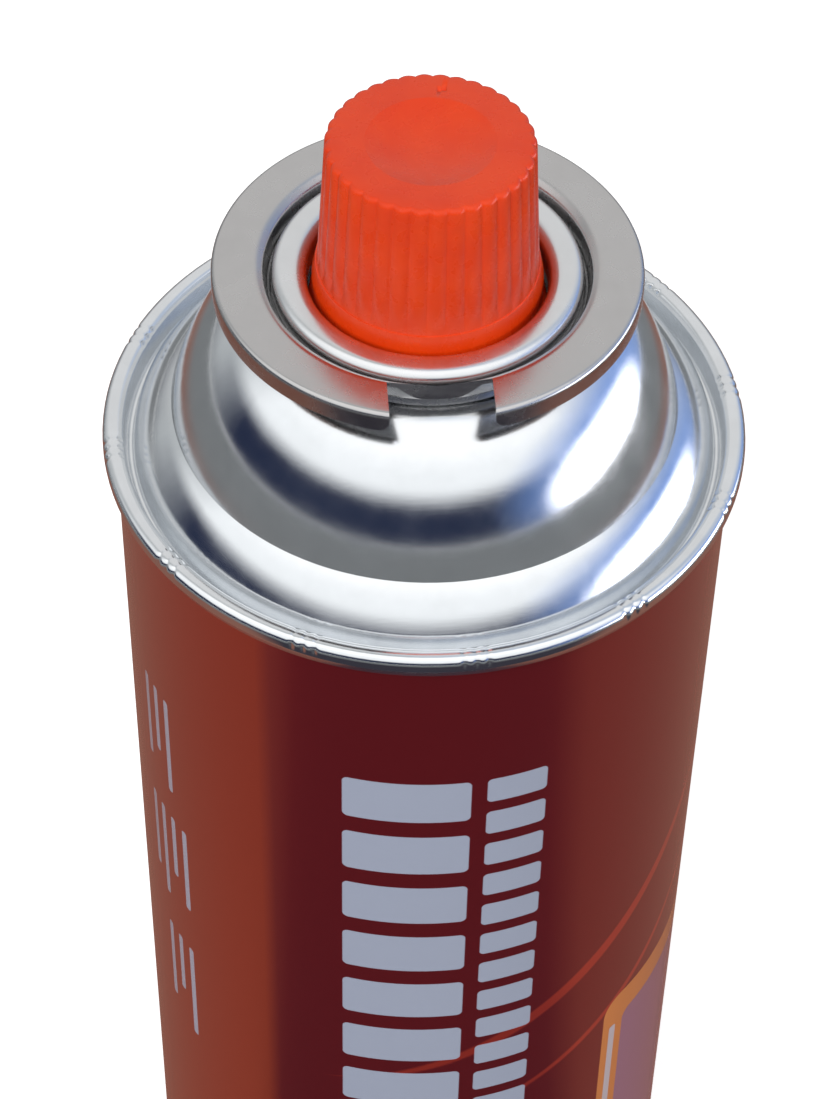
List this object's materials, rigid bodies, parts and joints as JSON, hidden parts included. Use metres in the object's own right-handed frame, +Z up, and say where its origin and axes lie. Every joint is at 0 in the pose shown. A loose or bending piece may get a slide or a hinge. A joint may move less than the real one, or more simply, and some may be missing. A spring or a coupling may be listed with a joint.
{
  "type": "fuel canister",
  "caption": "Sealed gas cartridge for a portable stove: domed can with a notched collar, a press-down valve and a fluted pull-off cap.",
  "frame": {"origin": "middle of the base, on the surface that the can stands on", "axes": "+Z up the can's axis to the cap, the collar's notch towards -Y"},
  "size_m": [0.0684, 0.0684, 0.1985],
  "materials": {
    "printed_sleeve": "gloss",
    "bright_tinplate": "satin",
    "base_tinplate": "satin",
    "clear_liquid": "clear",
    "collar_steel": "satin",
    "cup_tinplate": "satin",
    "black_rubber": "matte",
    "white_plastic": "satin",
    "spring_steel": "polished",
    "tube_plastic": "satin",
    "cap_plastic": "satin"
  },
  "bodies": {
    "canister": {"can_body": "printed_sleeve", "top_end": "bright_tinplate", "bottom_end": "base_tinplate", "liquid_fuel": "clear_liquid", "collar_ring": "collar_steel", "mounting_cup": "cup_tinplate", "cup_gasket": "black_rubber", "stem_gasket": "black_rubber", "valve_housing": "white_plastic", "valve_spring": "spring_steel", "vapour_tube": "tube_plastic"},
    "stem": {"valve_stem": "white_plastic"},
    "cap": {"cap": "cap_plastic"}
  },
  "joints": [
    {"name": "cap_pull", "type": "slide", "parent": "canister", "child": "cap", "axis": [0, 0, 1], "range_m": [0, 0.017]},
    {"name": "stem_press", "type": "slide", "parent": "canister", "child": "stem", "axis": [0, 0, -1], "range_m": [0, 0.0025], "stiffness_N_per_m": 3000, "springref_m": -0.002, "deforming": ["valve_spring"]}
  ]
}
